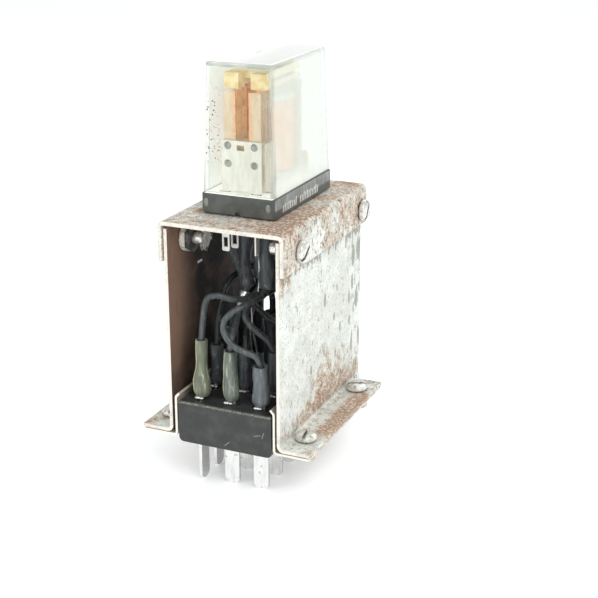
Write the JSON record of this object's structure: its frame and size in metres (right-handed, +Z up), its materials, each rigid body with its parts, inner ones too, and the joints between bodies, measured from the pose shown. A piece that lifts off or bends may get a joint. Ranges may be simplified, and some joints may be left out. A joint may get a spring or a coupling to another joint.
{
  "type": "plug in relay",
  "caption": "Plug in relay: a clear covered electromechanical relay on a rusted steel chassis with side walls, hook-up leads and a black multi-blade plug base.",
  "frame": {"origin": "centre of the bounding box in plan, at the tips of the plug blades", "axes": "+Z up through the cover, +X to the right seen from the open front, +Y towards the back"},
  "size_m": [0.0452, 0.052, 0.1037],
  "materials": {
    "chassis_steel": "plated sheet steel, dull, scratched, with rust patches",
    "bracket_steel": "thin plated sheet steel, dull",
    "plug_phenolic": "moulded black phenolic, satin, scuffed",
    "screw_nickel": "nickel plated, slightly tarnished",
    "relay_moulding": "dark grey-green moulding, semi-gloss",
    "clear_plastic": "clear polystyrene, polished, hazed with age",
    "soft_iron": "cadmium plated soft iron",
    "spring_steel": "bright spring wire",
    "bobbin_nylon": "natural nylon",
    "coil_copper": "copper wire under clear amber tape",
    "card_amber": "translucent amber moulding",
    "stack_phenolic": "laminated phenolic",
    "leaf_bronze": "phosphor bronze spring strip",
    "contact_silver": "silver plated strip, bright",
    "blade_silver": "silver plated, bright",
    "wire_sleeving": "dark heat-shrink sleeving and plastic wire insulation"
  },
  "bodies": {
    "chassis": {"cap_bracket": "chassis_steel", "left_wall": "chassis_steel", "right_wall": "chassis_steel", "plug_bracket_left": "bracket_steel", "plug_bracket_right": "bracket_steel", "plug_body": "plug_phenolic", "cap_screw_left_front": "screw_nickel", "cap_screw_left_rear": "screw_nickel", "cap_screw_right_front": "screw_nickel", "cap_screw_right_rear": "screw_nickel", "cap_nut_left_front": "screw_nickel", "cap_nut_left_rear": "screw_nickel", "cap_nut_right_front": "screw_nickel", "cap_nut_right_rear": "screw_nickel", "foot_screw_left_front": "screw_nickel", "foot_screw_left_rear": "screw_nickel", "foot_screw_right_front": "screw_nickel", "foot_screw_right_rear": "screw_nickel", "relay_base": "relay_moulding", "relay_yoke": "soft_iron", "coil_core": "soft_iron", "clamp_plate": "soft_iron", "return_spring": "spring_steel", "coil_bobbin": "bobbin_nylon", "coil_winding": "coil_copper", "stack_insulator": "stack_phenolic", "no_contact_left": "contact_silver", "nc_contact_left": "contact_silver", "common_terminal_left": "contact_silver", "coil_terminal_left": "contact_silver", "no_contact_right": "contact_silver", "nc_contact_right": "contact_silver", "common_terminal_right": "contact_silver", "coil_terminal_right": "contact_silver", "plug_blade_01": "blade_silver", "plug_blade_02": "blade_silver", "plug_blade_03": "blade_silver", "plug_blade_04": "blade_silver", "plug_blade_05": "blade_silver", "plug_blade_06": "blade_silver", "plug_blade_07": "blade_silver", "plug_blade_08": "blade_silver", "plug_blade_09": "blade_silver", "plug_blade_10": "blade_silver", "plug_blade_11": "blade_silver", "plug_blade_12": "blade_silver", "plug_blade_13": "blade_silver", "plug_blade_14": "blade_silver", "plug_blade_15": "blade_silver", "lead_front_left": "wire_sleeving", "lead_front_middle": "wire_sleeving", "lead_front_right": "wire_sleeving", "lead_second_middle": "wire_sleeving", "lead_second_right": "wire_sleeving", "lead_link": "wire_sleeving"},
    "cover": {"relay_cover": "clear_plastic"},
    "armature": {"armature": "soft_iron"},
    "card": {"contact_card": "card_amber"},
    "leaf_left": {"moving_leaf_left": "leaf_bronze"},
    "leaf_right": {"moving_leaf_right": "leaf_bronze"}
  },
  "joints": [
    {"name": "armature_hinge", "type": "hinge", "parent": "chassis", "child": "armature", "pos_m": [0, 0.0091, 0.0966], "axis": [1, 0, 0], "range_deg": [0, 5.5], "stiffness_Nm_per_rad": 0.02, "springref_deg": -2.86, "deforming": ["return_spring"]},
    {"name": "card_level", "type": "hinge", "parent": "armature", "child": "card", "pos_m": [0, 0.0091, 0.1022], "axis": [-1, 0, 0], "range_deg": [0, 5.6]},
    {"name": "leaf_left_flex", "type": "hinge", "parent": "chassis", "child": "leaf_left", "pos_m": [-0.00325, -0.0099, 0.085], "axis": [1, 0, 0], "range_deg": [0, 2.3]},
    {"name": "leaf_right_flex", "type": "hinge", "parent": "chassis", "child": "leaf_right", "pos_m": [0.00325, -0.0099, 0.085], "axis": [1, 0, 0], "range_deg": [0, 2.3]},
    {"name": "cover_lift", "type": "slide", "parent": "chassis", "child": "cover", "axis": [0, 0, 1], "range_m": [0, 0.04]}
  ],
  "couplings": [
    {"joint": "card_level", "follows": "armature_hinge", "ratio": 1},
    {"joint": "leaf_left_flex", "follows": "armature_hinge", "ratio": 0.4},
    {"joint": "leaf_right_flex", "follows": "armature_hinge", "ratio": 0.4}
  ]
}
